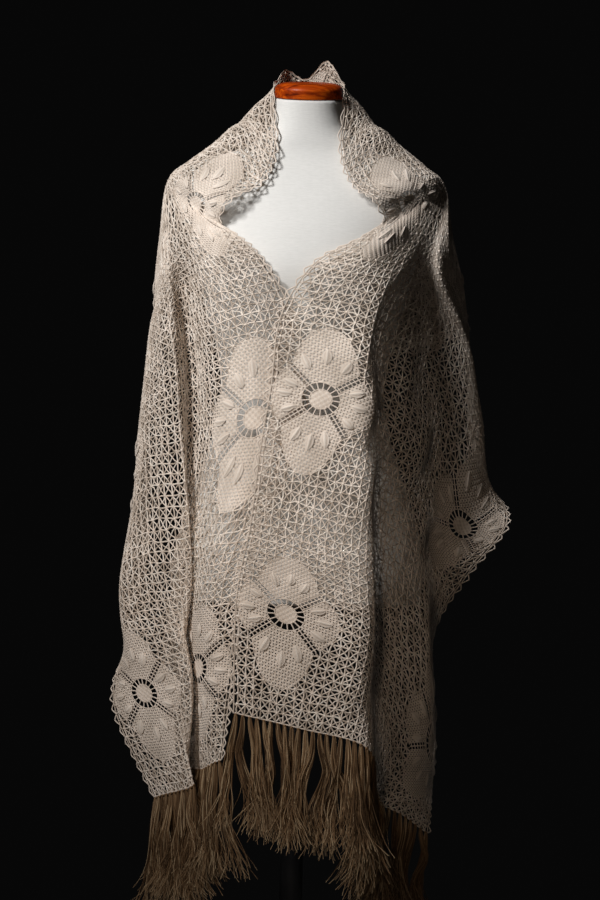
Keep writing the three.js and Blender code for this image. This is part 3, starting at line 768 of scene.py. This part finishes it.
def bowed(start, end):
    """Paths of threads between places, each bent a little to one side."""
    share = np.linspace(0, 1, 3)[None, :, None]
    run = end - start
    length = np.maximum(np.linalg.norm(run, axis=1), 1e-6)
    side = np.stack([-run[:, 1], run[:, 0]], axis=-1) / length[:, None]
    bow = rng.normal(0, THREAD_BOW, len(run))[:, None] * side
    return start[:, None] + run[:, None] * share + bow[:, None] * np.sin(np.pi * share)


def of_stretch(places, low, high):
    return (places[..., 0] >= low) & (places[..., 0] < high)


STARS, LEGS, DIAGONALS = ground_threads()
LEGS = cut_at_flowers(*LEGS)
DIAGONALS = cut_at_flowers(*DIAGONALS)
STARS = STARS[~in_flower(STARS)]


def edging(gathered, low, high):
    """Footing and picots along both long edges, and a footing across a fringed end."""
    count = round((high - low) / PICOT_PITCH)
    t = np.linspace(0, 1, 9)
    along = low + (high - low) * (np.arange(count)[:, None] + t + 0.08 * np.sin(2 * np.pi * t)) / count
    bulge = (FOOT_AT + PICOT_DEPTH - 1.4) * np.sin(np.pi * t) ** 0.9
    foot = np.linspace(low, high, count * 3 + 1)
    for inward, edge in ((1, 0), (-1, WIDTH)):
        line = np.full_like(foot, edge + inward * FOOT_AT)
        threads(gathered, np.stack([foot, line], axis=-1)[None], FOOT_HALF, 0.3)
        rolled = (edge == 0) & (np.abs(along[:, 4:5]) < ROLLED_REACH)
        depth = np.where(rolled, ROLLED_SHARE, 1.0) * rng.uniform(0.7, 1.1, (count, 1))
        out = edge + inward * (FOOT_AT - depth * bulge)
        threads(gathered, np.stack([along, out], axis=-1), PICOT_HALF, 0.55)
    for end in (low, high):
        if abs(end) == LENGTH / 2:
            across = np.linspace(FOOT_AT, WIDTH - FOOT_AT, 141)
            threads(gathered, np.stack([np.full_like(across, end), across], -1)[None], FOOT_HALF, 0.5)


for name, low, high in STRETCHES:
    lace = Gathered()
    for (start, end), half in ((LEGS, LEG_HALF), (DIAGONALS, DIAGONAL_HALF)):
        mine = of_stretch((start + end) / 2, low, high)
        tone = rng.uniform(0.05, 0.85, mine.sum())
        threads(lace, bowed(start[mine], end[mine]), half, tone)
    stars = STARS[of_stretch(STARS, low, high)]
    blobs(lace, stars, STAR_RADIUS, STAR_HEIGHT, rng.uniform(0.45, 0.7, len(stars)))
    edging(lace, low, high)
    piece = lace.piece(f"lace_{name}", LACE)
    of_part(piece, "lace_linen", f"shawl_{name}")

    blossom = Gathered()
    for k in range(-FLOWER_LAST, FLOWER_LAST + 1):
        if low <= k * FLOWER_PITCH < high:
            flower(blossom, k * FLOWER_PITCH, False)
            flower(blossom, k * FLOWER_PITCH, True)
    flowers = blossom.piece(f"flowers_{name}", LACE)
    of_part(flowers, "lace_linen")


# Fringe

def fringe(name, end):
    """Knotted locks of loose wavy strands that hang from the end of the cloth."""
    gathered = Gathered()
    lock = np.repeat(np.arange(FRINGE_LOCKS), LOCK_STRANDS)
    count = len(lock)
    across = WIDTH * (lock + 0.5) / FRINGE_LOCKS
    root, _ = on_cloth(np.stack([np.full(count, end * (LENGTH / 2 + 0.5)), across], axis=-1))
    drop = FRINGE_LENGTH * (0.93 + 0.07 * np.sin(lock * 3.1)) * rng.uniform(0.82, 1.0, count)
    t = np.linspace(0, 1, STRAND_STEPS)

    # a lock drifts and bends as one, its strands spread, wave and curl at their tips
    drift = rng.normal(0, LOCK_DRIFT, (FRINGE_LOCKS, 2))[lock]
    bend = rng.normal(0, LOCK_BEND, (FRINGE_LOCKS, 2))[lock]
    turns = rng.uniform(0.7, 1.5, FRINGE_LOCKS)[lock]
    phase = rng.uniform(0, 1, FRINGE_LOCKS)[lock]
    angle = rng.uniform(0, 2 * np.pi, count)
    spread = np.sqrt(rng.uniform(0, 1, count))
    width = ROOT_SPREAD + (LOCK_SPREAD - ROOT_SPREAD) * t**0.6
    own_turns = rng.uniform(1.0, 2.8, count)
    own_phase = rng.uniform(0, 1, count)
    curl = rng.normal(0, TIP_CURL, (count, 2))
    heading = np.stack([np.cos(angle), np.sin(angle)], axis=-1)
    swing = np.sin(2 * np.pi * (turns[:, None] * t + phase[:, None])) - np.sin(2 * np.pi * phase)[:, None]
    ripple = STRAND_WAVE * t * np.sin(2 * np.pi * (own_turns[:, None] * t + own_phase[:, None]))
    aside = (drift[:, None] * t[:, None]**1.3 + bend[:, None] * (swing * np.minimum(1, 3 * t))[..., None]
             + heading[:, None] * (spread[:, None] * width)[..., None]
             + heading[:, None, ::-1] * ripple[..., None] + curl[:, None] * t[:, None]**4)
    centres = np.repeat(root[:, None], STRAND_STEPS, axis=1)
    centres[..., :2] += aside * (1, FRINGE_DEPTH)
    centres[..., 2] -= drop[:, None] * t
    facing = np.broadcast_to(np.array([0.0, -1.0, 0.0]), centres.shape)
    tips = np.clip((t - 0.72) / 0.28, 0, 1) ** 1.5
    dark = rng.uniform(0, 1, count)[:, None] ** 1.7
    light = rng.uniform(0.6, 1.0, count)[:, None]
    tone = dark * (1 - tips) + light * tips
    thin = np.broadcast_to(STRAND_RADIUS * (1 - 0.35 * t), (count, STRAND_STEPS))
    strips(gathered, centres, facing, (thin, thin), tone, sides=2)
    knots = np.stack([np.full(FRINGE_LOCKS, end * (LENGTH / 2 + 1.5)),
                      WIDTH * (np.arange(FRINGE_LOCKS) + 0.5) / FRINGE_LOCKS], axis=-1)
    blobs(gathered, knots, KNOT_RADIUS, KNOT_HEIGHT, np.full(FRINGE_LOCKS, 0.5))
    of_part(gathered.piece(f"strands_{name}", FRINGE), "fringe_linen", f"fringe_{name}")


fringe("left", -1)
fringe("right", 1)


# Dress form and stand

def grid_quads(rows, columns):
    """Faces between rings of points, closed round each ring."""
    at = np.arange(rows * columns).reshape(rows, columns)
    near, far = at[:-1], at[1:]
    return np.stack([near, np.roll(near, -1, 1), np.roll(far, -1, 1), far], axis=-1).reshape(-1, 4)


def torso():
    around, levels = 120, 150
    z = np.linspace(FORM[0, 0], NECK_TOP_Z, levels)
    half, front, back = through(FORM[:, 1:], FORM[:, 0], z).T[:, :, None]
    angle = 2 * np.pi * np.arange(around) / around
    c, s = np.cos(angle), np.sin(angle)
    x = np.sign(c) * half * np.abs(c) ** (2 / FORM_SQUARENESS)
    y = np.sign(s) * np.where(s < 0, front, back) * np.abs(s) ** (2 / FORM_SQUARENESS)
    tilt = NECK_TILT * np.maximum(0, (z - NECK_BASE_Z) / (NECK_TOP_Z - NECK_BASE_Z))[:, None]
    points = np.stack([x, y, z[:, None] + tilt * y], axis=-1)
    middle = np.array([(0, 0, FORM[0, 0]), (0, 0, NECK_TOP_Z)])
    foot = [middle[0] + share * (points[0] - middle[0]) for share in (0.05, 0.97)]
    head = [middle[1] + share * (points[-1] - middle[1]) for share in (0.97, 0.05)]
    rings = np.concatenate([foot, points, head])
    gathered = Gathered()
    gathered.add(rings, grid_quads(len(rings), around), 0.5)
    of_part(gathered.piece("form_cover", COVER), "cover_linen", "form_torso")


def turned(name, node_name, slot_name, profile, finish, tilt=0.0, lift=(0, 0, 0)):
    """Turned piece from its profile of (radius, height)."""
    around = 96
    profile = np.array(profile, float)
    angle = 2 * np.pi * np.arange(around) / around
    ring = np.stack([np.cos(angle), np.sin(angle)], axis=-1)
    points = np.concatenate([profile[:, :1, None] * ring, np.broadcast_to(profile[:, 1:, None],
                             (len(profile), around, 1))], axis=-1)
    c, s = math.cos(tilt), math.sin(tilt)
    points = points @ np.array([(1, 0, 0), (0, c, s), (0, -s, c)]) + lift
    gathered = Gathered()
    gathered.add(points, grid_quads(len(profile), around), 0.5)
    of_part(gathered.piece(name, finish), slot_name, node_name)


torso()
EAVE = [(CAP_RADIUS - CAP_EAVE + CAP_EAVE * math.sin(a), CAP_EAVE - CAP_EAVE * math.cos(a))
        for a in np.linspace(0, np.pi / 2, 5)]
WIDE, HIGH = CAP_ROUNDING
CROWN = [(CAP_RADIUS - WIDE + WIDE * math.cos(a), CAP_HEIGHT - HIGH + HIGH * math.sin(a))
         for a in np.linspace(0, np.pi / 2, 14)]
turned("cap", "neck_cap", "cap_wood",
       [(0.4, 0), (CAP_RADIUS - 2.2, 0), *EAVE, *CROWN, (12, CAP_HEIGHT), (0.4, CAP_HEIGHT)],
       WOOD, math.atan(NECK_TILT), (0, CAP_CENTRE_Y, NECK_TOP_Z + SEAM))
POLE_FOOT, POLE_TOP = BASE_HEIGHT + SEAM, FORM[0, 0] - SEAM
turned("pole", "stand_pole", "stand_metal",
       [(0.4, POLE_FOOT), (POLE_RADIUS - 0.3, POLE_FOOT), (POLE_RADIUS, POLE_FOOT + 0.3),
        (POLE_RADIUS, POLE_TOP - 0.3), (POLE_RADIUS - 0.3, POLE_TOP), (0.4, POLE_TOP)], METAL)
turned("base", "stand_base", "stand_metal",
       [(0.4, 0), (BASE_RADIUS - 0.6, 0), (BASE_RADIUS, 0.6), (BASE_RADIUS, BASE_HEIGHT - 5.2),
        (BASE_RADIUS - 0.8, BASE_HEIGHT - 4), (BASE_RADIUS - 7, BASE_HEIGHT - 0.3),
        (BASE_RADIUS - 8.5, BASE_HEIGHT), (0.4, BASE_HEIGHT)], METAL)


# Light and floor

def area_light(name, at, aim, size, power, spread=math.pi, colour=(1, 1, 1)):
    light = bpy.data.lights.new(name, "AREA")
    light.shape = "RECTANGLE"
    light.size, light.size_y = size
    light.energy = power
    light.spread = spread
    light.color = colour
    obj = bpy.data.objects.new(name, light)
    obj.location = at
    direction = Vector(aim) - Vector(at)
    obj.rotation_euler = direction.to_track_quat("-Z", "Y").to_euler()
    bpy.context.scene.collection.objects.link(obj)


area_light("key", (-1.5, -1.55, 2.65), (0.1, -0.1, 1.15), (0.6, 0.6), 4.55, math.radians(40))
area_light("front", (-0.4, -2.0, 1.35), (-0.1, -0.1, 0.8), (0.25, 0.25), 0.18,
           math.radians(30), (1, 0.82, 0.65))
area_light("fill", (0.4, -2.5, 0.9), (0, 0, 0.85), (1.2, 1.6), 0.33, colour=(1, 0.85, 0.7))
area_light("rear", (0.8, 2.1, 2.0), (0, 0, 1.1), (1.4, 1.4), 0.9)

world = bpy.data.worlds.new("studio")
world.use_nodes = True
world.node_tree.nodes["Background"].inputs["Color"].default_value = (0.0022, 0.0022, 0.0022, 1)
bpy.context.scene.world = world

floor = Gathered()
turn = 2 * np.pi * np.arange(96) / 96
disc = np.stack([np.cos(turn), np.sin(turn), np.zeros(96)], axis=-1)
floor.add(np.concatenate([disc * r for r in (1, FLOOR_RADIUS * 0.5, FLOOR_RADIUS)]) - (0, 0, 0.5),
          grid_quads(3, 96), 0.5)
pale, shader = material("floor", 0.9)
shader.inputs["Base Color"].default_value = (0.62, 0.61, 0.59, 1)
ground = floor.piece("floor", pale)

bpy.context.scene.view_settings.view_transform = "Standard"
